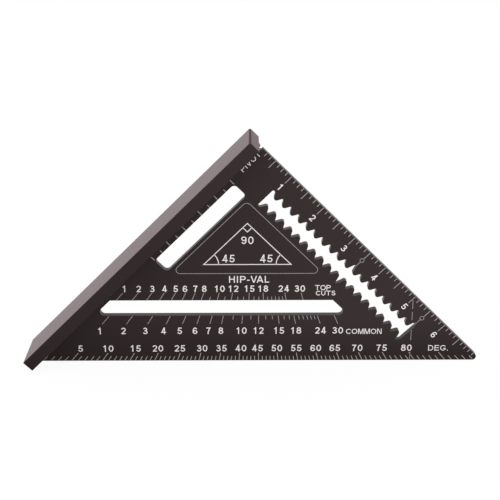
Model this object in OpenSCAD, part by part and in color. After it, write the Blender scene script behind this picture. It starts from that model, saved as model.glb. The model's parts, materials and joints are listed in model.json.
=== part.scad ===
// Magnetic rafter square: a triangular aluminium plate with a T-shaped fence along one leg.
// It stands on its long edge, with the plate upright and its graduated face towards -Y.
// All sizes are in millimetres. Many are round fractions of an inch, as on the real tool.

/* [Plate] */
// Ruler edge, from the fence's face to the point where the long edge would meet it
leg = 184.15; // [176:0.05:230]
// Thickness of the plate
plate_t = 4; // [3:0.1:6]
// Radius of the rounded tip between the ruler edge and the long edge
tip_r = 2.1; // [0.5:0.1:6]

/* [Fence] */
// Width of the fence across both lips
fence_w = 31; // [27:0.5:45]
// Thickness of the fence
fence_t = 7; // [5.5:0.1:12]
// How far the fence's far end is sawn short of the full leg
fence_trim = 0.85; // [0:0.05:6]
// Radius on the two long edges of the fence's outer face
fence_edge_r = 0.6; // [0.2:0.1:1.5]
// Radius on the long edges of the lips' inner faces
fence_inner_r = 0.3; // [0.1:0.1:1.5]
// Radius on the fence's outer edge at the ruler end
fence_end_r = 1.2; // [0.3:0.1:2.5]
// Radius in the corner between a lip and the plate
root_r = 0.8; // [0.2:0.1:1.8]

/* [Pivot notch] */
// Distance from the rounded corner at the lip to the notch beside it
pivot_notch_gap = 0.1; // [0.05:0.05:2]
// Width of the notch
pivot_notch_w = 2.1; // [1.2:0.1:4]
// Depth of the notch below the ruler edge
pivot_notch_d = 1.7; // [1:0.1:5]

/* [Fence slot] */
// Distance from the fence's face to the slot beside it
fence_slot_gap = 6.1; // [4:0.05:10]
// Width of that slot
fence_slot_w = 9.6; // [6:0.05:12]
// Distance from the ruler edge to the slot's near end
fence_slot_start = 25.4; // [15:0.05:35]
// Length of the slot
fence_slot_len = 63.8; // [40:0.1:80]
// Radius of its corners
fence_slot_r = 2.4; // [0.3:0.1:2.8]

/* [Long slot] */
// Height of the slot's lower side above the long edge
long_slot_up = 28.85; // [24:0.05:34]
// Width of the slot
long_slot_w = 9.55; // [6:0.05:13]
// Distance from the fence's face to the slot's slanted end
long_slot_fence_gap = 4.75; // [3:0.05:12]
// Distance from the ruler edge to the slot's other slanted end
long_slot_ruler_gap = 34.9; // [31:0.1:45]
// Radius of the two sharp lower corners
long_slot_low_r = 2.6; // [0.5:0.1:3.2]
// Radius of the two blunt upper corners
long_slot_top_r = 0.8; // [0.3:0.1:2]

/* [Scribing slot] */
// Distance from the ruler edge to the bottoms of the near row of notches
scribe_inset = 12.6; // [9:0.05:14]
// Width of the slot between facing notch bottoms
scribe_w = 12.35; // [10:0.05:14]
// Distance from the fence's face to the first pair of notches
scribe_first = 25.1; // [22:0.05:27]
// Least length of ruler edge past the last pair, after the long edge's slant is taken off
scribe_end_gap = 18; // [14:0.5:40]
// Distance from one notch to the next
scribe_pitch = 6.35; // [5:0.05:6.6]
// Height of the teeth between the notches
tooth_h = 3.5; // [2:0.05:4]
// Radius of the tooth tips
tooth_tip_r = 1.4; // [0.3:0.1:1.6]
// Radius of the notch bottoms, where a pencil point runs
notch_r = 0.7; // [0.3:0.1:1.2]
// Extra depth of the notches that mark a common board width
board_notch_extra = 1.75; // [0:0.05:2.5]
// Number of the notch pair for the narrow board, counted from the first
board_notch = 11; // [2:1:11]
// How far the slot runs on past the first and the last pair of notches
scribe_relief = 1.4; // [1.2:0.1:4]
// Radius of the corners at its two ends
scribe_end_r = 0.7; // [0.3:0.1:0.8]

/* [Magnets] */
// Diameter of a disc magnet
magnet_d = 9.5; // [5:0.1:10.5]
// Thickness of a disc magnet
magnet_t = 3; // [1.5:0.1:4]
// Bevel round a magnet's rims
magnet_bevel = 0.3; // [0.1:0.05:0.6]
// How far a magnet's face lies below the lip's face
magnet_recess = 0.2; // [0.05:0.05:0.6]
// Gap all round a magnet in its pocket, for the adhesive
magnet_gap = 0.05; // [0.02:0.01:0.2]
// Number of magnets in each lip
magnet_count = 4; // [2:1:6]
// Distance from each end of the fence to the centre of its nearest magnet
magnet_end = 22; // [12:0.5:35]

/* [Hidden] */
$fn = 64;

anodised_black = [0.20, 0.17, 0.17];
nickel = [0.75, 0.75, 0.73];

// Length by which cutting shapes overrun the faces that they cut
over = 1;
// Depth by which a straight side runs into an arc, so that the two cross instead of only touching
blend = 0.004;

fence_len = leg - fence_trim;
lip_w = (fence_w - plate_t) / 2;
lip_middle = plate_t / 2 + lip_w / 2;

// The upright part is centred over its base, from the fence's far corner to the rounded tip.
base_left = -(fence_len + fence_t) / sqrt(2);
base_right = leg / sqrt(2) - tip_r * sqrt(2);
base_centre = (base_left + base_right) / 2;
corner_height = leg / sqrt(2);

// The long slot's sides run parallel to the long edge, on lines of constant x + y.
long_slot_low_sum = leg - long_slot_up * sqrt(2);
long_slot_top_sum = leg - (long_slot_up + long_slot_w) * sqrt(2);

scribe_middle = scribe_inset + scribe_w / 2;
scribe_room = leg - scribe_inset - scribe_w - scribe_end_gap - scribe_first;
scribe_count = floor(scribe_room / scribe_pitch) + 1;
scribe_last = scribe_first + (scribe_count - 1) * scribe_pitch;
tip_half = scribe_w / 2 - tooth_h;

magnet_pocket_d = magnet_d + 2 * magnet_gap;
magnet_pocket_depth = magnet_t + magnet_recess;
magnet_step = (fence_len - 2 * magnet_end) / (magnet_count - 1);

function unit(v) = v / norm(v);

// Points where a corner of radius r leaves its two sides, and the corner's centre.
function corner_half_angle(before, at, after) = acos(unit(before - at) * unit(after - at)) / 2;
function corner_reach(before, at, after, r) = r / tan(corner_half_angle(before, at, after));
function corner_start(before, at, after, r) = at + unit(before - at) * corner_reach(before, at, after, r);
function corner_end(before, at, after, r) = at + unit(after - at) * corner_reach(before, at, after, r);
function corner_centre(before, at, after, r) =
    at + unit(unit(before - at) + unit(after - at)) * r / sin(corner_half_angle(before, at, after));

// Convex outline with a true arc at each corner. A radius of 0 leaves the corner sharp.
module rounded_outline(points, radii) {
    n = len(points);
    polygon([
        for (i = [0 : n - 1], side = radii[i] > 0 ? [0, 1] : [0])
            let (before = points[(i + n - 1) % n], at = points[i], after = points[(i + 1) % n])
            radii[i] == 0 ? at
            : side == 0 ? corner_start(before, at, after, radii[i])
            : corner_end(before, at, after, radii[i])
    ]);
    for (i = [0 : n - 1]) {
        if (radii[i] > 0) {
            before = points[(i + n - 1) % n];
            after = points[(i + 1) % n];
            translate(corner_centre(before, points[i], after, radii[i])) circle(radii[i] + blend);
        }
    }
}

// The plate is drawn with x along the fence from the ruler edge, and y along the ruler edge
// from the fence's face. It reaches into the fence, so that the two are one casting.
module plate_outline() {
    rounded_outline(
        [[0, -fence_t / 2], [fence_len, -fence_t / 2], [fence_len, leg - fence_len], [0, leg]],
        [0, 0, 0, tip_r]
    );
}

module fence_slot() {
    end = fence_slot_start + fence_slot_len;
    far = fence_slot_gap + fence_slot_w;
    rounded_outline(
        [[fence_slot_start, fence_slot_gap], [end, fence_slot_gap], [end, far], [fence_slot_start, far]],
        [fence_slot_r, fence_slot_r, fence_slot_r, fence_slot_r]
    );
}

module long_slot() {
    rounded_outline(
        [
            [long_slot_top_sum - long_slot_fence_gap, long_slot_fence_gap],
            [long_slot_low_sum - long_slot_fence_gap, long_slot_fence_gap],
            [long_slot_ruler_gap, long_slot_low_sum - long_slot_ruler_gap],
            [long_slot_ruler_gap, long_slot_top_sum - long_slot_ruler_gap]
        ],
        [long_slot_top_r, long_slot_low_r, long_slot_low_r, long_slot_top_r]
    );
}

// The scribing slot is drawn about its own middle line: first number outwards, second along the slot.
function notch_at(j) = scribe_first + j * scribe_pitch;
function is_board_notch(j) = j == board_notch - 1 || j == scribe_count - 1;
function notch_half(j) = scribe_w / 2 + (is_board_notch(j) ? board_notch_extra : 0);

// A flank is the line that joins the notch's bottom arc to the next tooth's tip arc.
// Its angle is that between the slot's length and the line square to the flank.
function flank_angle(j) =
    let (across = scribe_pitch / 2, drop = notch_half(j) - tip_half - tooth_tip_r - notch_r)
    acos((tooth_tip_r + notch_r - 2 * blend) / norm([across, drop])) - atan2(drop, across);
function square_to_flank(j, side) = [sin(flank_angle(j)), side * cos(flank_angle(j))];
function notch_centre(j) = [notch_half(j) - notch_r, notch_at(j)];
function tip_centre(j, side) = [tip_half + tooth_tip_r, notch_at(j) + side * scribe_pitch / 2];
function flank_top(j, side) = notch_centre(j) + (notch_r - blend) * square_to_flank(j, side);
function flank_foot(j, side) = tip_centre(j, side) - (tooth_tip_r - blend) * square_to_flank(j, side);

// One side of the toothed opening. It overruns the first notch's centre and the last notch's far flank.
module toothed_side() {
    last = scribe_count - 1;
    start = notch_at(0) - over;
    end = notch_at(last) + scribe_pitch / 2;
    difference() {
        union() {
            polygon(concat(
                [[-tip_half / 2, start], [tip_half / 2, start]],
                [notch_centre(0), flank_top(0, 1), flank_foot(0, 1)],
                [
                    for (j = [1 : last], k = [0 : 3])
                        [flank_foot(j, -1), flank_top(j, -1), flank_top(j, 1), flank_foot(j, 1)][k]
                ],
                [[tip_half / 2, end], [-tip_half / 2, end]]
            ));
            for (j = [0 : last]) translate(notch_centre(j)) circle(notch_r);
        }
        for (j = [0 : last - 1]) translate(tip_centre(j, 1)) circle(tooth_tip_r);
    }
}

// Plain stretch of the slot from a pair of notches to the slot's end.
module plain_stretch(pair, end) {
    half = scribe_w / 2 - blend;
    rounded_outline(
        [[-half, end], [half, end], [half, pair], [-half, pair]],
        [scribe_end_r, scribe_end_r, 0, 0]
    );
}

// The toothed opening is cut off just short of the far end, which the plain stretch there makes.
module scribing_slot() {
    start = scribe_first - scribe_relief;
    end = scribe_last + scribe_relief;
    reach = scribe_w / 2 + board_notch_extra + over;
    translate([scribe_middle, 0]) {
        intersection() {
            union() {
                toothed_side();
                mirror([1, 0]) toothed_side();
            }
            translate([-reach, start]) square([2 * reach, end - blend - start]);
        }
        plain_stretch(scribe_first, start);
        plain_stretch(scribe_last, end);
    }
}

// The notch is cut into the ruler edge just clear of the rounded corners at the lips.
module pivot_notch() {
    r = pivot_notch_w / 2;
    translate([0, root_r + pivot_notch_gap]) {
        translate([pivot_notch_d - r, r]) circle(r);
        translate([-over, 0]) square([pivot_notch_d - r + over, pivot_notch_w]);
    }
}

// Section through the fence: y from its outer face to the lips' inner faces, z across the lips.
module fence_section() {
    half = fence_w / 2;
    rounded_outline(
        [[-fence_t, -half], [0, -half], [0, half], [-fence_t, half]],
        [fence_edge_r, fence_inner_r, fence_inner_r, fence_edge_r]
    );
}

// The fence seen square on to the plate. It overruns the lips' inner faces.
module fence_outline() {
    rounded_outline(
        [[0, -fence_t], [fence_len, -fence_t], [fence_len, over], [0, over]],
        [fence_end_r, 0, 0, 0]
    );
}

// Section through the rounded inside corners where the two lips meet the plate.
module root_section() {
    for (side = [0, 1]) mirror([0, side]) difference() {
        translate([-root_r, 0]) square([2 * root_r, plate_t / 2 + root_r]);
        translate([root_r, plate_t / 2 + root_r]) circle(root_r);
    }
}

// Runs a section along the fence, past both of its ends.
module along_fence() {
    translate([-over, 0, 0]) rotate([90, 0, 90]) linear_extrude(fence_len + 2 * over) children();
}

// Turns the drawn square upright, with its long edge on the base plane.
module stand_up() {
    translate([-base_centre, 0, corner_height]) rotate([90, 135, 0]) children();
}

// Puts a shape that rises from z = 0 into the lip's pocket number i, with z out of the lip's face.
module in_pocket(side, i) {
    translate([magnet_end + (i - 1) * magnet_step, -magnet_pocket_depth, side * lip_middle])
        rotate([-90, 0, 0]) children();
}

module square_body() {
    color(anodised_black) stand_up() difference() {
        union() {
            linear_extrude(plate_t, center = true) difference() {
                plate_outline();
                fence_slot();
                long_slot();
                scribing_slot();
            }
            intersection() {
                along_fence() fence_section();
                linear_extrude(fence_w + 2 * over, center = true) fence_outline();
            }
            intersection() {
                along_fence() root_section();
                linear_extrude(fence_w, center = true) plate_outline();
            }
        }
        linear_extrude(plate_t + 2 * over, center = true) pivot_notch();
        for (side = [-1, 1], i = [1 : magnet_count]) {
            in_pocket(side, i) cylinder(d = magnet_pocket_d, h = magnet_pocket_depth + over);
        }
    }
}

module lip_magnet(side, i) {
    r = magnet_d / 2;
    color(nickel) stand_up() in_pocket(side, i) rotate_extrude() polygon([
        [0, 0],
        [r - magnet_bevel, 0],
        [r, magnet_bevel],
        [r, magnet_t - magnet_bevel],
        [r - magnet_bevel, magnet_t],
        [0, magnet_t]
    ]);
}

square_body();
for (i = [1 : magnet_count]) {
    lip_magnet(1, i);
    lip_magnet(-1, i);
}
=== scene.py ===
import json
import math

import bmesh
import bpy
from mathutils import Matrix, Vector
from mathutils.geometry import delaunay_2d_cdt


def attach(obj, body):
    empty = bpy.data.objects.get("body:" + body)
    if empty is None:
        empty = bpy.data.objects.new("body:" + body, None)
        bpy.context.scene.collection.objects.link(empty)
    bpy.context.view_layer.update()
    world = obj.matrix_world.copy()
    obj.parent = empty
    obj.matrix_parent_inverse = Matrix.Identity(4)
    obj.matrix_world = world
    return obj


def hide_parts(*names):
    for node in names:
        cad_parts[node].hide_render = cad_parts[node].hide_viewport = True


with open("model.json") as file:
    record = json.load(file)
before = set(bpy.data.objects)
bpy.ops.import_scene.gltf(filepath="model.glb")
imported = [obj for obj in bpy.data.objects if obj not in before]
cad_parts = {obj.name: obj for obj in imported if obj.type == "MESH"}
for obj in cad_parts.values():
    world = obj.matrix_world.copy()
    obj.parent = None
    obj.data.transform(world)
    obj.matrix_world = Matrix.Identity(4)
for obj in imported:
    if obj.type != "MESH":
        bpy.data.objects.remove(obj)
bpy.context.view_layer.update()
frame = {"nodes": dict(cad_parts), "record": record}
scene = bpy.context.scene


# The body: one aluminium casting, a triangular plate with a T-shaped fence along one leg. Its
# slots are milled through it, tumbling breaks its edges, and it is blasted with fine beads and
# dyed black in the anodising bath.
MM = 0.001              # metres in a millimetre; sizes are in millimetres unless they say otherwise
PLATE = 4               # thickness of the plate
EDGE_BREAK = 0.09       # width of the broken edges
SHARP = 35              # degrees, edges sharper than this are broken
SMOOTH = 30             # degrees, faces that meet at less than this are shaded as one curve
FLAT = 0.3              # degrees, faces this near to one plane are joined
WELD = 0.001            # corners nearer than this are one corner
HAIR = 0.01             # slack for rounding
mounts = {m["name"]: m for m in frame["record"]["mounts"]}
lip, ruler = mounts["front_lip_face"], mounts["ruler_edge"]
down_ruler = Vector(lip["axis"])        # along the ruler edge, away from the fence
down_fence = -Vector(ruler["axis"])     # along the fence, away from the ruler edge


def linear(hex_colour):
    """An sRGB hex colour as the linear RGBA that the shaders take."""
    parts = [int(hex_colour[i:i + 2], 16) / 255 for i in (1, 3, 5)]
    return [p / 12.92 if p <= 0.04045 else ((p + 0.055) / 1.055) ** 2.4 for p in parts] + [1]


def add(tree, kind, inputs=(), **settings):
    """Adds a node with its settings, and sets or links its input sockets.

    A Mix node's ends go by number, 2 and 3 for values, 6 and 7 for colours, as they share names.
    """
    node = tree.nodes.new(kind)
    for name, value in settings.items():
        setattr(node, name, value)
    for socket, value in dict(inputs).items():
        if isinstance(value, bpy.types.NodeSocket):
            tree.links.new(value, node.inputs[socket])
        else:
            node.inputs[socket].default_value = value
    return node


def blank(name):
    """A new material and its emptied node tree."""
    material = bpy.data.materials.new(name)
    material.use_nodes = True
    material.node_tree.nodes.clear()
    return material, material.node_tree


# Black anodised aluminium: the dyed oxide swallows nearly all light that falls on it squarely,
# with a faint brown left over, and turns to a mauve-grey satin sheen at a glancing angle. Its
# colour carries painted light: a broad, slow drift between a darker and a lighter brown across the
# plate, and painted shade that darkens it beside a lip or near the floor, where less of the room's
# light reaches it. The fence's ends, and the round beside one of them, are dressed with a file, so
# they are duller and read dark.
# The blasted grit is about 0.1 mm and is drawn at 0.5 mm, because the render can't show it finer.
GRIT = 0.5
GRINDING = 0.7                  # spacing of the faint lines that grinding leaves along the fence
GRINDING_STRETCH = 50           # how many times longer than wide those lines are
LIGHT_GRADIENT = 250                     # size of the broad painted light gradient's darker and lighter areas
LIGHT_GRADIENT_SHIFT = 0.78, 0, 0.51     # metres, moves the painted light gradient to its place on the plate
SHADE_REACH = 30                # how near another face has to be for the painted shade to darken the colour
SATIN = 0.24, 0.3               # roughness of the blasted skin, in and between the lines
FILED = 0.62                    # roughness where it is filed the most
anodised, tree = blank("black_anodised_aluminium")
place = add(tree, "ShaderNodeTexCoord").outputs["Object"]
grit = add(tree, "ShaderNodeTexNoise", {"Vector": place, "Scale": 1 / (GRIT * MM), "Detail": 2})
along_fence = add(tree, "ShaderNodeMapping", {
    "Vector": place, "Rotation": (0, math.radians(-45), 0), "Scale": (1 / GRINDING_STRETCH, 1, 1)})
grinding = add(tree, "ShaderNodeTexNoise", {
    "Vector": along_fence.outputs["Vector"], "Scale": 1 / (GRINDING * MM), "Detail": 1})
shifted = add(tree, "ShaderNodeMapping", {"Vector": place, "Location": LIGHT_GRADIENT_SHIFT})
painted_light_gradient = add(tree, "ShaderNodeTexNoise", {
    "Vector": shifted.outputs["Vector"], "Scale": 1 / (LIGHT_GRADIENT * MM), "Detail": 0})
# Painted light: the base colour drifts between these two browns with the broad gradient, standing in for
# how the light falls across the plate.
dye = add(tree, "ShaderNodeMix", {
    "Factor": painted_light_gradient.outputs["Fac"], 6: linear("#291f20"), 7: linear("#453d3c")}, data_type="RGBA")
# Painted shade: the base colour is darkened towards this near-black wherever a lip or the floor is within
# reach.
lit = add(tree, "ShaderNodeAmbientOcclusion", {"Distance": SHADE_REACH * MM}, samples=16)
shaded = add(tree, "ShaderNodeMix", {
    "Factor": lit.outputs["AO"], 6: linear("#1b1617"), 7: dye.outputs[2]}, data_type="RGBA")
broken_share = add(tree, "ShaderNodeAttribute", attribute_name="broken_edge")
rubbed = add(tree, "ShaderNodeMath", {
    0: broken_share.outputs["Fac"], 1: grit.outputs["Fac"]}, operation="MULTIPLY")
skin = add(tree, "ShaderNodeMix", {
    "Factor": rubbed.outputs[0], 6: shaded.outputs[2], 7: linear("#453b3c")}, data_type="RGBA")
satin = add(tree, "ShaderNodeMapRange", {
    "Value": grinding.outputs["Fac"], "From Min": 0.3, "From Max": 0.7,
    "To Min": SATIN[0], "To Max": SATIN[1]})
filed_share = add(tree, "ShaderNodeAttribute", attribute_name="filed")
dulled = add(tree, "ShaderNodeMix", {
    "Factor": filed_share.outputs["Fac"], 2: satin.outputs["Result"], 3: FILED})
relief = add(tree, "ShaderNodeBump", {
    "Height": grit.outputs["Fac"], "Strength": 0.05, "Distance": 0.02 * MM})
finish = add(tree, "ShaderNodeBsdfPrincipled", {
    "Base Color": skin.outputs[2], "Metallic": 1, "Roughness": dulled.outputs[0],
    "Specular Tint": linear("#fbedf1"), "Normal": relief.outputs["Normal"]})
add(tree, "ShaderNodeOutputMaterial", {"Surface": finish.outputs["BSDF"]})

# Milled aluminium, on the plate's edges and in its slots, under the same black oxide: the cutter's
# fine ridges run through the plate's thickness, so these faces are greyer, and duller at a
# glancing angle, than the blasted ones.
RIDGE = 0.4                     # spacing of the ridges
RIDGE_STRETCH = 50              # how many times longer than wide they are
MILLED = 0.31, 0.41             # roughness, in and between the ridges
milled, tree = blank("milled_anodised_aluminium")
place = add(tree, "ShaderNodeTexCoord").outputs["Object"]
through_plate = add(tree, "ShaderNodeMapping", {
    "Vector": place, "Scale": (1, 1 / RIDGE_STRETCH, 1)})
ridges = add(tree, "ShaderNodeTexNoise", {
    "Vector": through_plate.outputs["Vector"], "Scale": 1 / (RIDGE * MM), "Detail": 1})
dye = add(tree, "ShaderNodeMix", {
    "Factor": ridges.outputs["Fac"], 6: linear("#3a3637"), 7: linear("#433f40")}, data_type="RGBA")
dulled = add(tree, "ShaderNodeMapRange", {
    "Value": ridges.outputs["Fac"], "From Min": 0.3, "From Max": 0.7,
    "To Min": MILLED[0], "To Max": MILLED[1]})
relief = add(tree, "ShaderNodeBump", {
    "Height": ridges.outputs["Fac"], "Strength": 0.1, "Distance": 0.02 * MM})
finish = add(tree, "ShaderNodeBsdfPrincipled", {
    "Base Color": dye.outputs[2], "Metallic": 1, "Roughness": dulled.outputs["Result"],
    "Specular Tint": linear("#fbf6f8"), "Normal": relief.outputs["Normal"]})
add(tree, "ShaderNodeOutputMaterial", {"Surface": finish.outputs["BSDF"]})


def placed(name, data):
    """A new object with this mesh, lamp or camera, linked into the scene."""
    thing = bpy.data.objects.new(name, data)
    scene.collection.objects.link(thing)
    return thing


def plain_mesh(holder):
    """The mesh that an object's modifiers make of it; the object itself is removed."""
    made = bpy.data.meshes.new_from_object(holder.evaluated_get(bpy.context.evaluated_depsgraph_get()))
    bpy.data.objects.remove(holder)
    return made


SQUARE_ON = 0.99        # a face is square to a direction when its normal has this much of it
EDGE_LEAN = 0.6         # a plate edge's normal has less than this towards the front or back
ROUND_LEAN = 0.3        # and the normal of the filed round has less than this
END_FILING = 0.25       # share of the filing that the fence's ends get
ROUND_FILING = 2.6      # brings the filing of the round to 1 where it is strongest
bm = bmesh.new()
bm.from_mesh(frame["nodes"]["square_body"].data)
bmesh.ops.remove_doubles(bm, verts=bm.verts, dist=WELD * MM)
bmesh.ops.dissolve_limit(bm, angle_limit=math.radians(FLAT), verts=bm.verts, edges=bm.edges)
sharp = [e for e in bm.edges if e.calc_face_angle() > math.radians(SHARP)]
broken = bm.faces.layers.float.new("broken_edge")
filed = bm.faces.layers.float.new("filed")
strips = bmesh.ops.bevel(bm, geom=sharp, offset=EDGE_BREAK * MM, segments=2, profile=0.5,
                         affect="EDGES", clamp_overlap=False)["faces"]
for face in strips:
    face[broken] = 1
for face in bm.faces:
    face.smooth = True
    middle = face.calc_center_median()
    lean = abs(face.normal.y)
    on_fence = (middle - Vector(lip["pos_m"])).dot(down_ruler) <= 0
    plate_edge = not on_fence and abs(middle.y) < (PLATE / 2 + HAIR) * MM and lean < EDGE_LEAN
    face.material_index = int(plate_edge)       # 0 is the blasted skin, 1 is milled
    outwards, endwards = -face.normal.dot(down_ruler), -face.normal.dot(down_fence)
    if on_fence and abs(endwards) > SQUARE_ON:
        face[filed] = END_FILING
    elif on_fence and min(outwards, endwards) > 0 and lean < ROUND_LEAN:
        face[filed] = ROUND_FILING * outwards * endwards ** 2
for edge in bm.edges:
    edge.smooth = edge.calc_face_angle() < math.radians(SMOOTH)
bmesh.ops.triangulate(bm, faces=[f for f in bm.faces if len(f.verts) > 4])
rough_mesh = bpy.data.meshes.new("unshaded_body")
bm.to_mesh(rough_mesh)
bm.free()
rough_mesh.materials.append(anodised)
rough_mesh.materials.append(milled)
holder = placed("unshaded_body", rough_mesh)
shading = holder.modifiers.new("flat_faces", "WEIGHTED_NORMAL")
shading.keep_sharp = True
body_mesh = plain_mesh(holder)
body_mesh.name = "anodised_body"
body = placed("anodised_body", body_mesh)
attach(body, "root")
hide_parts("square_body")


# The lip magnets: eight sintered discs, nickel plated against rust, glued into pockets in the
# two inner faces of the fence, a hair below the face so that they don't scratch the work.
# Nickel plate: a warm pale metal, bright but not a mirror, with a fine orange-peel to its shine.
PEEL = 0.6                      # size of the orange-peel's dimples
SCUFF = 4                       # size of the patches that handling has dulled
BRIGHT = 0.2, 0.34              # roughness, clean and scuffed
nickel, tree = blank("nickel_plate")
place = add(tree, "ShaderNodeTexCoord").outputs["Object"]
peel = add(tree, "ShaderNodeTexNoise", {"Vector": place, "Scale": 1 / (PEEL * MM), "Detail": 2})
scuff = add(tree, "ShaderNodeTexNoise", {"Vector": place, "Scale": 1 / (SCUFF * MM), "Detail": 3})
dulled = add(tree, "ShaderNodeMapRange", {
    "Value": scuff.outputs["Fac"], "From Min": 0.35, "From Max": 0.65,
    "To Min": BRIGHT[0], "To Max": BRIGHT[1]})
tone = add(tree, "ShaderNodeMix", {
    "Factor": scuff.outputs["Fac"], 6: linear("#c4c0b8"), 7: linear("#d2cec6")}, data_type="RGBA")
relief = add(tree, "ShaderNodeBump", {
    "Height": peel.outputs["Fac"], "Strength": 0.15, "Distance": 0.03 * MM})
finish = add(tree, "ShaderNodeBsdfPrincipled", {
    "Base Color": tone.outputs[2], "Metallic": 1, "Roughness": dulled.outputs["Result"],
    "Normal": relief.outputs["Normal"]})
add(tree, "ShaderNodeOutputMaterial", {"Surface": finish.outputs["BSDF"]})
for name, node in frame["nodes"].items():
    if "magnet" in name:
        node.data.materials.clear()
        node.data.materials.append(nickel)


# The ruler scale: inches along the ruler edge, divided into eighths, with a ring at the two widths
# that boards are most often ripped to, and a broken line down to the long edge. Like all the marks
# it is burnt by laser through the black skin, which leaves a pale line flush with the face.
INCH = 25.4
LEG = 184.15            # length of the square's two legs
MARK_PROUD = 0.03       # how far marks stand off the face, so that the face doesn't hide them
MARK_SUNK = 0.05        # how far they reach into it
EDGE_TICK = 0.41        # width of the lines of the scales along the plate's edges
TICK_SET_IN = 0.12      # how far a scale's lines start from the plate's edge
HAIRLINE = 0.3          # width of the rings, the lines that run on from them and the broken line
BOLD = 0.62             # width of the strokes of numerals and large words
FINE = 0.46             # width of the strokes of small words
GAP = 0.12              # space between letters, as a share of their height
KERN = {                # added to that space between these pairs
    "P-": -0.1, "-V": -0.14, "VA": -0.34, "AL": -0.1, "10": 0.07, "12": 0.07, "15": 0.07, "18": 0.07}
ARC_STEP = 14           # degrees between the points of a drawn arc
NEAR = 1e-6             # points nearer than this are one point

# All marks are drawn in millimetres on the plate's front face: x from the ruler edge along the
# fence, y from the fence along the ruler edge, z out of the face. The origin is the pivot corner.
corner = down_ruler * down_ruler.dot(lip["pos_m"]) + down_fence * down_fence.dot(ruler["pos_m"])
corner.y = -PLATE / 2 * MM
plate_face = Matrix.Translation(corner) @ Matrix((
    down_fence, down_ruler, (0, -1, 0))).transposed().to_4x4() @ Matrix.Scale(MM, 4)

# Laser-marked aluminium: the burnt oxide is matt and a little uneven, because the beam's passes
# overlap. Numerals are hatched until they are nearly white; a line of one pass stays mid grey.
# The passes are about 0.05 mm apart and are drawn at 0.3 mm, because the render can't show them.
BEAM = 0.3


def laser_mark(name, faint, full):
    """Burnt oxide that wavers between two greys."""
    material, tree = blank(name)
    place = add(tree, "ShaderNodeTexCoord").outputs["Object"]
    passes = add(tree, "ShaderNodeTexNoise", {"Vector": place, "Scale": 1 / (BEAM * MM), "Detail": 2})
    tone = add(tree, "ShaderNodeMix", {
        "Factor": passes.outputs["Fac"], 6: linear(faint), 7: linear(full)}, data_type="RGBA")
    relief = add(tree, "ShaderNodeBump", {
        "Height": passes.outputs["Fac"], "Strength": 0.2, "Distance": 0.02 * MM})
    finish = add(tree, "ShaderNodeBsdfPrincipled", {
        "Base Color": tone.outputs[2], "Roughness": 0.72, "Normal": relief.outputs["Normal"]})
    add(tree, "ShaderNodeOutputMaterial", {"Surface": finish.outputs["BSDF"]})
    return material


hatched = laser_mark("hatched_laser_mark", "#d8d3d2", "#eeebe9")
single_pass = laser_mark("single_pass_laser_mark", "#8f8a88", "#a8a3a1")


def arc(cx, cy, rx, ry, start, end):
    """Points along an arc of an ellipse, angles in degrees."""
    steps = max(3, round(abs(end - start) / ARC_STEP))
    turns = [math.radians(start + (end - start) * i / steps) for i in range(steps + 1)]
    return [(cx + rx * math.cos(a), cy + ry * math.sin(a)) for a in turns]


def stroke(path, width):
    """Quads along a path of points, mitred at its bends and square at its ends."""
    points = [Vector(p) for p in path]
    ring = (points[0] - points[-1]).length < NEAR
    points = points[:-1] if ring else points
    count = len(points)
    sides = []
    for i, p in enumerate(points):
        before = p - points[i - 1] if ring or i else points[1] - p
        after = points[(i + 1) % count] - p if ring or i < count - 1 else before
        square = [Vector((-d.y, d.x)).normalized() for d in (before, after)]
        mitre = (square[0] + square[1]).normalized()
        reach = mitre * width / 2 / mitre.dot(square[0])
        sides.append((p - reach, p + reach))
    spans = [(i, (i + 1) % count) for i in range(count if ring else count - 1)]
    return [(sides[a][0], sides[b][0], sides[b][1], sides[a][1]) for a, b in spans]


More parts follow.
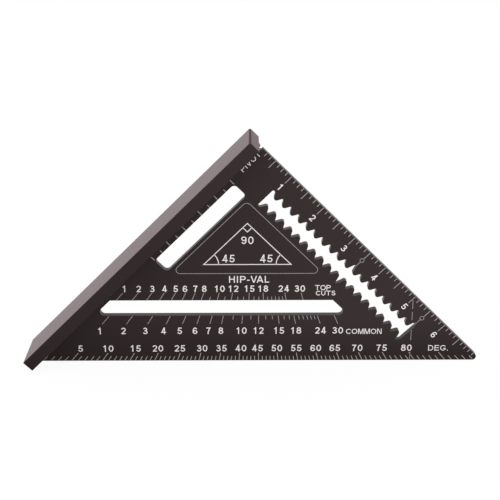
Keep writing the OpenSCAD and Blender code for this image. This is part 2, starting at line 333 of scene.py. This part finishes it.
def alphabet(weight):
    """A plain alphabet, one unit high, with strokes this wide: each letter's width and its quads."""
    def bend(path):
        return stroke(path, weight)

    def slant(x0, y0, x1, y1):
        half = weight / 2 * math.hypot(x1 - x0, y1 - y0) / abs(y1 - y0)
        outline = (x0 - half, y0), (x0 + half, y0), (x1 + half, y1), (x1 - half, y1)
        return [tuple(Vector(p) for p in outline)]

    def level(y, x0, x1):
        return bend([(x0, y), (x1, y)])

    def upright(x):
        return bend([(x, 0), (x, 1)])

    six = (bend(arc(0.345, 0.31, 0.245, 0.215, 0, 360))
           + bend(arc(0.355, 0.5, 0.255, 0.405, 32, 200)))
    return {
        "0": (0.69, bend(arc(0.345, 0.5, 0.25, 0.405, 0, 360))),
        "1": (0.6, upright(0.365) + bend([(0.36, 0.9), (0.25, 0.79), (0.11, 0.73)])),
        "2": (0.69, bend(arc(0.345, 0.69, 0.24, 0.215, 172, -22)
                         + [(0.44, 0.42), (0.24, 0.235), (0.15, 0.08)])
              + level(0.095, 0.06, 0.63)),
        "3": (0.69, bend(arc(0.335, 0.72, 0.2, 0.185, 165, -90) + [(0.24, 0.535)])
              + bend([(0.24, 0.515)] + arc(0.335, 0.305, 0.25, 0.21, 90, -165))),
        "4": (0.72, upright(0.48) + level(0.275, 0.02, 0.69) + slant(0.12, 0.22, 0.46, 1)),
        "5": (0.69, level(0.905, 0.13, 0.62) + slant(0.145, 0.43, 0.215, 0.95)
              + bend(arc(0.33, 0.325, 0.25, 0.23, 138, -165))),
        "6": (0.69, six),
        "7": (0.69, level(0.905, 0.05, 0.64)
              + bend([(0.56, 0.93), (0.42, 0.68), (0.315, 0.38), (0.27, 0)])),
        "8": (0.69, bend(arc(0.345, 0.725, 0.205, 0.18, 0, 360))
              + bend(arc(0.345, 0.3, 0.25, 0.205, 0, 360))),
        "9": (0.69, [tuple(Vector((0.69, 1)) - p for p in quad) for quad in six]),
        "A": (0.98, slant(0.11, 0, 0.49, 1) + slant(0.87, 0, 0.49, 1) + level(0.3, 0.22, 0.76)),
        "C": (0.9, bend(arc(0.5, 0.5, 0.405, 0.405, 42, 318))),
        "D": (0.88, upright(0.1)
              + bend([(0.1, 0.905)] + arc(0.38, 0.5, 0.4, 0.405, 90, -90) + [(0.1, 0.095)])),
        "E": (0.77, upright(0.1) + level(0.905, 0.1, 0.74) + level(0.52, 0.1, 0.7)
              + level(0.095, 0.1, 0.76)),
        "G": (0.98, bend(arc(0.5, 0.5, 0.405, 0.405, 40, 325)) + level(0.41, 0.54, 0.93)
              + bend([(0.835, 0.4), (0.835, 0.2)])),
        "H": (0.84, upright(0.1) + upright(0.74) + level(0.53, 0.1, 0.74)),
        "I": (0.2, upright(0.1)),
        "L": (0.63, upright(0.1) + level(0.095, 0.1, 0.62)),
        "M": (1.0, upright(0.1) + upright(0.9) + slant(0.5, 0, 0.15, 1) + slant(0.5, 0, 0.85, 1)),
        "N": (0.84, upright(0.1) + upright(0.74) + slant(0.68, 0, 0.16, 1)),
        "O": (1.0, bend(arc(0.5, 0.5, 0.405, 0.405, 0, 360))),
        "P": (0.82, upright(0.1)
              + bend([(0.1, 0.905)] + arc(0.48, 0.685, 0.245, 0.22, 90, -90) + [(0.1, 0.465)])),
        "S": (0.82, bend(arc(0.41, 0.705, 0.275, 0.2, 22, 250)
                         + arc(0.41, 0.3, 0.305, 0.205, 70, -165))),
        "T": (0.86, level(0.905, 0.01, 0.85) + upright(0.43)),
        "U": (0.84, bend([(0.1, 1)] + arc(0.42, 0.39, 0.32, 0.295, 180, 360) + [(0.74, 1)])),
        "V": (0.94, slant(0.47, 0, 0.11, 1) + slant(0.47, 0, 0.83, 1)),
        "-": (0.4, level(0.37, 0.02, 0.38)),
        ".": (0.2, level(0.085, 0.02, 0.18)),
    }


def cut_mark(bm, quads):
    """Fills overlapping quads, drawn in millimetres, as one outline and gives it its thickness."""
    outline = [p for quad in quads for p in quad]
    loops = [list(range(i, i + 4)) for i in range(0, len(outline), 4)]
    points, _, faces, _, _, sources = delaunay_2d_cdt(outline, [], loops, 0, NEAR)
    faces = [face for face, source in zip(faces, sources) if source]
    verts = {i: bm.verts.new((*points[i], -MARK_SUNK)) for face in faces for i in face}
    ground = [bm.faces.new([verts[i] for i in face]) for face in faces]
    raised = bmesh.ops.extrude_face_region(bm, geom=ground, use_keep_orig=True)["geom"]
    bmesh.ops.translate(bm, vec=(0, 0, MARK_SUNK + MARK_PROUD),
                        verts=[v for v in raised if isinstance(v, bmesh.types.BMVert)])


def letter(bm, text, x, y, turn, size, gap=GAP, line=BOLD):
    """Marks a word or number, centred on (x, y), reading along the direction turn, in degrees."""
    letters = alphabet(line / size)
    steps = [letters[a][0] + gap + KERN.get(a + b, 0) for a, b in zip(text, text[1:])]
    onto = Matrix.Rotation(math.radians(turn), 2) * size
    start = -(sum(steps) + letters[text[-1]][0]) / 2
    for character, step in zip(text, steps + [0]):
        quads = letters[character][1]
        cut_mark(bm, [tuple(onto @ (p + Vector((start, -0.5))) + Vector((x, y)) for p in quad)
                      for quad in quads])
        start += step


def level_point(across, height):
    """The point this far across from under the pivot corner and this high above the long edge."""
    half = (LEG - height * math.sqrt(2)) / 2
    return half - across / math.sqrt(2), half + across / math.sqrt(2)


def finish_marks(name, bm, finish):
    """Moves drawn marks onto the plate's face as one piece that rides on the body."""
    bmesh.ops.recalc_face_normals(bm, faces=bm.faces)
    bm.transform(plate_face)
    mesh = bpy.data.meshes.new(name)
    bm.to_mesh(mesh)
    bm.free()
    mesh.materials.clear()
    mesh.materials.append(finish)
    piece = placed(name, mesh)
    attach(piece, "root")


def tick_tree(name, **sizes):
    """A new node tree that takes and gives geometry, with these named inputs and their kinds."""
    tree = bpy.data.node_groups.new(name, "GeometryNodeTree")
    for socket, kind in {"Geometry": "Geometry", **sizes}.items():
        tree.interface.new_socket(socket, in_out="INPUT", socket_type="NodeSocket" + kind)
    tree.interface.new_socket("Geometry", in_out="OUTPUT", socket_type="NodeSocketGeometry")
    return tree


def lay_ticks(tree, points, length, size, turn=(0, 0, 0)):
    """Ends a tick tree: on each point it lays a line of this length, turned this far."""
    cube = add(tree, "GeometryNodeMeshCube").outputs["Mesh"]
    unit_line = add(tree, "GeometryNodeTransform", {"Geometry": cube, "Translation": (0.5, 0, 0)})
    scale = add(tree, "ShaderNodeCombineXYZ", {
        "X": length, "Y": size["Width"], "Z": size["Thickness"]})
    ticks = add(tree, "GeometryNodeInstanceOnPoints", {
        "Points": points, "Instance": unit_line.outputs["Geometry"],
        "Rotation": turn, "Scale": scale.outputs[0]})
    real = add(tree, "GeometryNodeRealizeInstances", {"Geometry": ticks.outputs["Instances"]})
    done = add(tree, "GeometryNodeSetMaterial", {
        "Geometry": real.outputs["Geometry"], "Material": size["Finish"]})
    add(tree, "NodeGroupOutput", {"Geometry": done.outputs["Geometry"]})


def grown(tree, mesh, sizes):
    """Runs a node tree on a mesh with these sizes and returns the plain mesh that it makes."""
    holder = placed(tree.name, mesh)
    modifier = holder.modifiers.new(tree.name, "NODES")
    modifier.node_group = tree
    for item in tree.interface.items_tree:
        if item.in_out == "INPUT" and item.name in sizes:
            modifier[item.identifier] = sizes[item.name]
    return plain_mesh(holder)


# Evenly spaced ticks: a row of lines along y, each running in +x. Their length goes by their
# number in the row: every fourth is long, every second of the rest is medium.
even_ticks = tick_tree(
    "even_ticks", Count="Int", First="Int", Spacing="Float", Root="Float", Short="Float",
    Medium="Float", Long="Float", Width="Float", Thickness="Float", Finish="Material")
size = add(even_ticks, "NodeGroupInput").outputs
index = add(even_ticks, "GeometryNodeInputIndex").outputs[0]
number = add(even_ticks, "ShaderNodeMath", {0: index, 1: size["First"]}, operation="ADD").outputs[0]
begin = add(even_ticks, "ShaderNodeMath", {
    0: size["First"], 1: size["Spacing"]}, operation="MULTIPLY").outputs[0]
row = add(even_ticks, "GeometryNodeMeshLine", {
    "Count": size["Count"],
    "Start Location": add(even_ticks, "ShaderNodeCombineXYZ", {"X": size["Root"], "Y": begin}).outputs[0],
    "Offset": add(even_ticks, "ShaderNodeCombineXYZ", {"Y": size["Spacing"]}).outputs[0]})
odd = add(even_ticks, "ShaderNodeMath", {0: number, 1: 2.0}, operation="MODULO").outputs[0]
past_fourth = add(even_ticks, "ShaderNodeMath", {0: number, 1: 4.0}, operation="MODULO").outputs[0]
not_fourth = add(even_ticks, "ShaderNodeMath", {
    0: past_fourth, 1: 1.0}, operation="MINIMUM").outputs[0]
lesser = add(even_ticks, "ShaderNodeMix", {
    "Factor": odd, 2: size["Medium"], 3: size["Short"]}).outputs[0]
length = add(even_ticks, "ShaderNodeMix", {
    "Factor": not_fourth, 2: size["Long"], 3: lesser}).outputs[0]
lay_ticks(even_ticks, row.outputs["Mesh"], length, size)

EIGHTH, QUARTER, HALF = 2.1, 2.4, 5.3       # lengths of the ruler's ticks
FIRST_EIGHTH, EIGHTHS = 2, 54               # number of the first tick, and how many there are
LAST_INCH = 7                               # its tick is a short one, clear of the rounded tip
RIP_WIDTHS = 3.5, 5.5                       # inches
RING_IN, RING_OUT, SLOT_EDGE = 5.25, 7.85, 11.4     # from the ruler edge
DROP_LINE = 88.45                           # across, place of the broken line
DROP_DASHES = (38.2, 32.65), (30.8, 25.6), (19.35, 12.8), (5.3, TICK_SET_IN)    # heights of its ends
bm = bmesh.new()
bm.from_mesh(grown(even_ticks, bpy.data.meshes.new("ruler_ticks"), {
    "Count": EIGHTHS, "First": FIRST_EIGHTH, "Spacing": INCH / 8, "Root": TICK_SET_IN,
    "Short": EIGHTH, "Medium": QUARTER, "Long": HALF,
    "Width": EDGE_TICK, "Thickness": 2 * MARK_PROUD, "Finish": single_pass}))
cut_mark(bm, stroke([(TICK_SET_IN, LAST_INCH * INCH), (EIGHTH, LAST_INCH * INCH)], EDGE_TICK))
for inch in RIP_WIDTHS:
    middle, radius = (RING_IN + RING_OUT) / 2, (RING_OUT - RING_IN) / 2 - HAIRLINE / 2
    cut_mark(bm, stroke(arc(middle, inch * INCH, radius, radius, 0, 360), HAIRLINE)
             + stroke([(RING_OUT - HAIRLINE / 2, inch * INCH), (SLOT_EDGE, inch * INCH)], HAIRLINE))
for dash in DROP_DASHES:
    cut_mark(bm, stroke([level_point(DROP_LINE, height) for height in dash], HAIRLINE))
finish_marks("ruler_lines", bm, single_pass)

NUMERAL = 4.1                               # height of the numerals, here and above the long slot
NUMERAL_IN = 8.6                            # their middle, from the ruler edge
RULER_NUDGE = -0.35, -0.1, 0.1, -0.2, 0, 0  # how far along the ruler each sits from its tick
bm = bmesh.new()
for inch, nudge in enumerate(RULER_NUDGE, 1):
    letter(bm, str(inch), NUMERAL_IN, inch * INCH + nudge, turn=90, size=NUMERAL)
finish_marks("ruler_numerals", bm, hatched)


# The fence slot's scale: quarter inches along the slot's side next to the fence, for drawing
# lines parallel to a board's edge with a pencil held in the slot. Laser marked as the ruler.
SLOT_SIDE = 6.1                             # from the fence's face to the slot
SLOT_TICK = 0.52                            # width of the lines
SLOT_SHORT, SLOT_MEDIUM, SLOT_LONG = 1.9, 3.0, 3.6      # their lengths
SLOT_QUARTERS = 11                          # how many there are
bm = bmesh.new()
slot_ticks = grown(even_ticks, bpy.data.meshes.new("slot_ticks"), {
    "Count": SLOT_QUARTERS, "First": 0, "Spacing": INCH / 4, "Root": TICK_SET_IN,
    "Short": SLOT_SHORT, "Medium": SLOT_MEDIUM, "Long": SLOT_LONG,
    "Width": SLOT_TICK, "Thickness": 2 * MARK_PROUD, "Finish": single_pass})
slot_ticks.transform(
    Matrix.Translation((INCH, SLOT_SIDE, 0)) @ Matrix.Rotation(math.radians(-90), 4, "Z"))
bm.from_mesh(slot_ticks)
finish_marks("fence_slot_lines", bm, single_pass)


# The degree scale: whole degrees along the long edge, each line aimed at the pivot corner, so
# that the edge of the work cuts the scale at the angle the square is swung to. Laser marked.
DEPTH = LEG / math.sqrt(2)      # from the pivot corner straight down to the long edge
STRAIGHT_DOWN = math.radians(45)    # direction of that line
LEVEL = 135                     # degrees, direction of a line parallel to the long edge

# Fanned ticks: lines on rays from the pivot corner. The points hold each ray's angle, how deep
# below the corner its line starts, and how far the line rises or falls from there.
fan_ticks = tick_tree("fan_ticks", Turn="Float", Width="Float", Thickness="Float", Finish="Material")
size = add(fan_ticks, "NodeGroupInput").outputs
angle = add(fan_ticks, "GeometryNodeInputNamedAttribute", {"Name": "angle"}).outputs["Attribute"]
depth = add(fan_ticks, "GeometryNodeInputNamedAttribute", {"Name": "depth"}).outputs["Attribute"]
rise = add(fan_ticks, "GeometryNodeInputNamedAttribute", {"Name": "rise"}).outputs["Attribute"]
swing = add(fan_ticks, "ShaderNodeMath", {0: angle, 1: STRAIGHT_DOWN}, operation="SUBTRACT").outputs[0]
upright_share = add(fan_ticks, "ShaderNodeMath", {0: swing}, operation="COSINE").outputs[0]
ray = add(fan_ticks, "ShaderNodeMath", {0: depth, 1: upright_share}, operation="DIVIDE").outputs[0]
cosine = add(fan_ticks, "ShaderNodeMath", {0: angle}, operation="COSINE").outputs[0]
sine = add(fan_ticks, "ShaderNodeMath", {0: angle}, operation="SINE").outputs[0]
root = add(fan_ticks, "ShaderNodeCombineXYZ", {
    "X": add(fan_ticks, "ShaderNodeMath", {0: ray, 1: cosine}, operation="MULTIPLY").outputs[0],
    "Y": add(fan_ticks, "ShaderNodeMath", {0: ray, 1: sine}, operation="MULTIPLY").outputs[0]})
roots = add(fan_ticks, "GeometryNodeSetPosition", {
    "Geometry": size["Geometry"], "Position": root.outputs[0]})
heading = add(fan_ticks, "ShaderNodeCombineXYZ", {
    "Z": add(fan_ticks, "ShaderNodeMath", {0: angle, 1: size["Turn"]}, operation="ADD").outputs[0]})
length = add(fan_ticks, "ShaderNodeMath", {
    0: rise, 1: upright_share}, operation="DIVIDE").outputs[0]
lay_ticks(fan_ticks, roots.outputs["Geometry"], length, size, turn=heading.outputs[0])


def fan(bm, marks, height, inward, width):
    """Adds fanned ticks, given as (angle in radians, rise), with their nearest corners this high."""
    points = bpy.data.meshes.new("fan_points")
    points.from_pydata([(0, 0, 0)] * len(marks), [], [])
    corners = [width / 2 * abs(math.sin(angle - STRAIGHT_DOWN)) for angle, _ in marks]
    for name, values in (
            ("angle", [angle for angle, _ in marks]),
            ("depth", [DEPTH - height + (-corner if inward else corner) for corner in corners]),
            ("rise", [rise - corner for (_, rise), corner in zip(marks, corners)])):
        points.attributes.new(name, "FLOAT", "POINT").data.foreach_set("value", values)
    bm.from_mesh(grown(fan_ticks, points, {
        "Turn": math.pi if inward else 0.0,
        "Width": width, "Thickness": 2 * MARK_PROUD, "Finish": single_pass}))


def letter_at(bm, text, across, height, size, gap=GAP, line=BOLD):
    """Marks a word level with the long edge: across is measured from under the pivot corner."""
    letter(bm, text, *level_point(across, height), LEVEL, size, gap, line)


def letter_ray(bm, text, angle, aim, nudge, height, size):
    """Marks a number by its tick, nudged across from where its ray passes the height aim."""
    letter_at(bm, text, (DEPTH - aim) * math.tan(angle - STRAIGHT_DOWN) + nudge, height, size)


FIVE_DEGREES, ONE_DEGREE = 4.85, 2.75       # lengths of the ticks
LAST_TICK, LAST_SET_IN = 2.3, 0.5           # length of the last one and its place, clear of the tip
bm = bmesh.new()
fan(bm, [(math.radians(d), ONE_DEGREE if d % 5 else FIVE_DEGREES) for d in range(1, 89)],
    height=TICK_SET_IN, inward=True, width=EDGE_TICK)
fan(bm, [(math.radians(89), LAST_TICK)], height=LAST_SET_IN, inward=True, width=EDGE_TICK)
finish_marks("degree_lines", bm, single_pass)

# Numerals sit up to 0.9 mm to one side of their ticks, counted towards the tip of the square.
LOWER_NUMERAL = 4.28                        # height of the numerals below the long slot
DEGREE_AIM, DEGREE_ROW = 6.1, 7.95          # heights that a ray is followed to, and of its numeral
DEGREE_NUDGE = 0.6, -0.6, 0.1, -0.7, -0.6, 0.4, 0.3, 0.6, -0.6, -0.2, 0.1, 0.1, -0.7, -0.4, 0.1, -0.7
bm = bmesh.new()
for d, nudge in zip(range(5, 85, 5), DEGREE_NUDGE):
    letter_ray(bm, str(d), math.radians(d), DEGREE_AIM, nudge, DEGREE_ROW, LOWER_NUMERAL)
letter_at(bm, "DEG.", across=104.7, height=7.8, size=3.7, line=FINE)
finish_marks("degree_numerals", bm, hatched)


# The common rafter scale: the rise in inches on a run of 12, along the lower side of the long
# slot, aimed at the pivot corner too. Every rise has a tick, and the ones in use are numbered.
# Laser marked as the degrees.
RISES = *range(1, 25), 30
NUMBERED = 1, 2, 3, 4, 5, 6, 7, 8, 10, 12, 15, 18, 24, 30
RUN = 12                                    # inches
SLOT_LOW = 28.85                            # the long slot's lower side above the long edge
RAFTER_TICK = 0.33                          # width of the lines of the two rafter scales
COMMON_LONG, COMMON_SHORT = 5.15, 2.4       # lengths of the numbered ticks and the others
COMMON_AIM, COMMON_ROW = 21.7, 19.25        # heights, as for the degrees
COMMON_NUDGE = 0, -0.6, -0.4, -0.7, -0.9, -0.6, -0.4, -0.1, -0.1, -0.1, -0.3, -0.1, -0.3, -0.7
bm = bmesh.new()
fan(bm, [(math.atan(rise / RUN), COMMON_LONG if rise in NUMBERED else COMMON_SHORT) for rise in RISES],
    height=SLOT_LOW - TICK_SET_IN, inward=False, width=RAFTER_TICK)
finish_marks("common_lines", bm, single_pass)
bm = bmesh.new()
for rise, nudge in zip(NUMBERED, COMMON_NUDGE):
    letter_ray(bm, str(rise), math.atan(rise / RUN), COMMON_AIM, nudge, COMMON_ROW, LOWER_NUMERAL)
letter_at(bm, "COMMON", across=60.95, height=18.6, size=3.4, gap=0.08, line=FINE)
finish_marks("common_numerals", bm, hatched)


# The hip and valley scale: the same rises on the longer run of a hip rafter, which crosses the
# common ones at 45 degrees, along the upper side of the long slot. Laser marked as the degrees.
HIP_RUN = RUN * math.sqrt(2)                # inches
SLOT_TOP = 38.4                             # the long slot's upper side above the long edge
HIP_LONG, HIP_SHORT = 4.6, 2.2              # lengths of the numbered ticks and the others
HIP_AIM, HIP_ROW = 43.6, 45.65              # heights, as for the degrees
HIP_NUDGE = 0.4, 0, 0, -0.1, -0.1, -0.6, 0, 0.1, 0.1, 0.4, 0, -0.1, -0.6, -0.6
bm = bmesh.new()
fan(bm, [(math.atan(rise / HIP_RUN), HIP_LONG if rise in NUMBERED else HIP_SHORT) for rise in RISES],
    height=SLOT_TOP + TICK_SET_IN, inward=True, width=RAFTER_TICK)
finish_marks("hip_valley_lines", bm, single_pass)
bm = bmesh.new()
for rise, nudge in zip(NUMBERED, HIP_NUDGE):
    letter_ray(bm, str(rise), math.atan(rise / HIP_RUN), HIP_AIM, nudge, HIP_ROW, NUMERAL)
letter_at(bm, "HIP-VAL", across=-5.5, height=51.4, size=4.2, gap=0.22)
letter_at(bm, "TOP", across=36.6, height=46.2, size=3.25, gap=0.06, line=FINE)
letter_at(bm, "CUTS", across=38.25, height=42.8, size=3.0, line=FINE)
finish_marks("hip_valley_numerals", bm, hatched)


# The pivot word: it marks the corner that is held against the board's edge while the square is
# swung round, and reads along the fence. Laser marked as the numerals.
bm = bmesh.new()
letter(bm, "PIVOT", x=10.05, y=3.2, turn=180, size=3.3, line=FINE)
finish_marks("pivot_mark", bm, hatched)


# The panel between the slots: a hairline triangle with rounded corners, and in it a plain figure
# of the square's own angles, two of 45 degrees and a right angle. Laser marked as the scales.
PANEL_FENCE, PANEL_RULER, PANEL_BASE = 17.9, 27.4, 55.0     # from fence, ruler edge and long edge
PANEL_CORNER, PANEL_FOOT = 3.0, 2.2         # radius of the right-angled corner and of the other two
FIGURE_FENCE, FIGURE_RULER, FIGURE_BASE = 27.3, 36.4, 60.5
FIGURE_LINE = 0.5                           # width of the figure's lines
FIGURE_NUMERAL = 4.8                        # height of its numerals
RIGHT_ANGLE_MARK = 3.6                      # side of the square that marks the right angle
ANGLE_ARC = 8.5                             # radius of the arcs that mark the other two
TEXT_IN, TEXT_UP = 14.0, 3.624              # from those two corners to their numerals
TEXT_DOWN = 10.08                           # from the right angle to its own


def rounded_triangle(from_fence, from_ruler, from_base, corner_r, foot_r):
    """A closed path set in from the fence, the ruler edge and the long edge, with round corners."""
    reach = LEG - from_base * math.sqrt(2)
    cot = 1 / math.tan(math.radians(22.5))
    top = (from_ruler + corner_r, from_fence + corner_r)
    left = (reach - from_fence - foot_r * cot, from_fence + foot_r)
    right = (from_ruler + foot_r, reach - from_ruler - foot_r * cot)
    path = (arc(*top, corner_r, corner_r, 270, 180) + arc(*right, foot_r, foot_r, 180, 45)
            + arc(*left, foot_r, foot_r, 45, -90))
    return path + path[:1]


bm = bmesh.new()
panel_path = rounded_triangle(PANEL_FENCE, PANEL_RULER, PANEL_BASE, PANEL_CORNER, PANEL_FOOT)
cut_mark(bm, stroke(panel_path, HAIRLINE))
finish_marks("panel_line", bm, single_pass)

bm = bmesh.new()
reach = LEG - FIGURE_BASE * math.sqrt(2)
left, right = reach - FIGURE_FENCE, reach - FIGURE_RULER    # its feet, along fence and ruler
cut_mark(bm, stroke([(FIGURE_RULER, FIGURE_FENCE), (left, FIGURE_FENCE), (FIGURE_RULER, right),
                     (FIGURE_RULER, FIGURE_FENCE)], FIGURE_LINE))
square = FIGURE_RULER + RIGHT_ANGLE_MARK, FIGURE_FENCE + RIGHT_ANGLE_MARK
cut_mark(bm, stroke([(square[0], FIGURE_FENCE), square, (FIGURE_RULER, square[1])], FIGURE_LINE))
cut_mark(bm, stroke(arc(left, FIGURE_FENCE, ANGLE_ARC, ANGLE_ARC, 135, 180), FIGURE_LINE))
cut_mark(bm, stroke(arc(FIGURE_RULER, right, ANGLE_ARC, ANGLE_ARC, 270, 315), FIGURE_LINE))
foot_row = FIGURE_BASE + TEXT_UP
apex = (LEG - FIGURE_FENCE - FIGURE_RULER) / math.sqrt(2)   # height of its right angle
letter_at(bm, "45", (FIGURE_FENCE - left) / math.sqrt(2) + TEXT_IN, foot_row, FIGURE_NUMERAL)
letter_at(bm, "45", (right - FIGURE_RULER) / math.sqrt(2) - TEXT_IN, foot_row, FIGURE_NUMERAL)
letter_at(bm, "90", (FIGURE_FENCE - FIGURE_RULER) / math.sqrt(2), apex - TEXT_DOWN, FIGURE_NUMERAL)
finish_marks("panel_figure", bm, hatched)


# The stage: a sheet of white paper that keeps a faint shadow, in a white surround. To the camera
# and to reflections both are plain white, and a wide soft lamp overhead gives the light its
# direction.
FLOOR = 4                       # metres, as the lamp and camera are; half the paper's side
PLAIN_WHITE = 0.95              # share of plain white in what the camera sees of the paper
LAMP_AIM = Vector((0, 0, 0.05))     # the point that the lamp faces
floor_mesh = bpy.data.meshes.new("floor")
floor_mesh.from_pydata(
    [(-FLOOR, -FLOOR, 0), (FLOOR, -FLOOR, 0), (FLOOR, FLOOR, 0), (-FLOOR, FLOOR, 0)], [], [(0, 1, 2, 3)])
floor = placed("floor", floor_mesh)
white_paper, tree = blank("white_paper")
seen = add(tree, "ShaderNodeLightPath").outputs
mirrored = add(tree, "ShaderNodeMath", {
    0: seen["Is Glossy Ray"], 1: seen["Is Transmission Ray"]}, operation="MAXIMUM")
shows_white = add(tree, "ShaderNodeMath", {
    0: seen["Is Camera Ray"], 1: mirrored.outputs[0]}, operation="MAXIMUM")
share = add(tree, "ShaderNodeMath", {0: shows_white.outputs[0], 1: PLAIN_WHITE}, operation="MULTIPLY")
paper = add(tree, "ShaderNodeMixShader", {
    0: share.outputs[0],
    1: add(tree, "ShaderNodeBsdfDiffuse", {"Color": linear("#fbfbfb")}).outputs[0],
    2: add(tree, "ShaderNodeEmission", {"Color": linear("#ffffff"), "Strength": 1.0}).outputs[0]})
add(tree, "ShaderNodeOutputMaterial", {"Surface": paper.outputs[0]})
floor_mesh.materials.append(white_paper)

world = bpy.data.worlds.new("white_surround")
scene.world = world
world.use_nodes = True
tree = world.node_tree
tree.nodes.clear()
surround = add(tree, "ShaderNodeBackground", {"Color": linear("#ffffff"), "Strength": 1.0})
add(tree, "ShaderNodeOutputWorld", {"Surface": surround.outputs[0]})

softbox = bpy.data.lights.new("softbox", "AREA")
softbox.shape = "RECTANGLE"
softbox.size, softbox.size_y = 1.2, 0.9
softbox.energy = 3
lamp = placed("softbox", softbox)
lamp.location = (-0.35, -0.35, 1.1)
lamp.rotation_euler = (LAMP_AIM - lamp.location).to_track_quat("-Z", "Y").to_euler()


# The camera: about 0.6 m off and 21 degrees above the level, square on to the plate, with a
# short telephoto lens.
lens = bpy.data.cameras.new("camera")
lens.sensor_width = 36
lens.lens = 76.99
camera = placed("camera", lens)
camera.location = (-0.005184, -0.561591, 0.287089)
camera.rotation_euler = [math.radians(a) for a in (68.7318, -0.0097, -0.3934)]
scene.camera = camera
scene.view_settings.view_transform = "Standard"
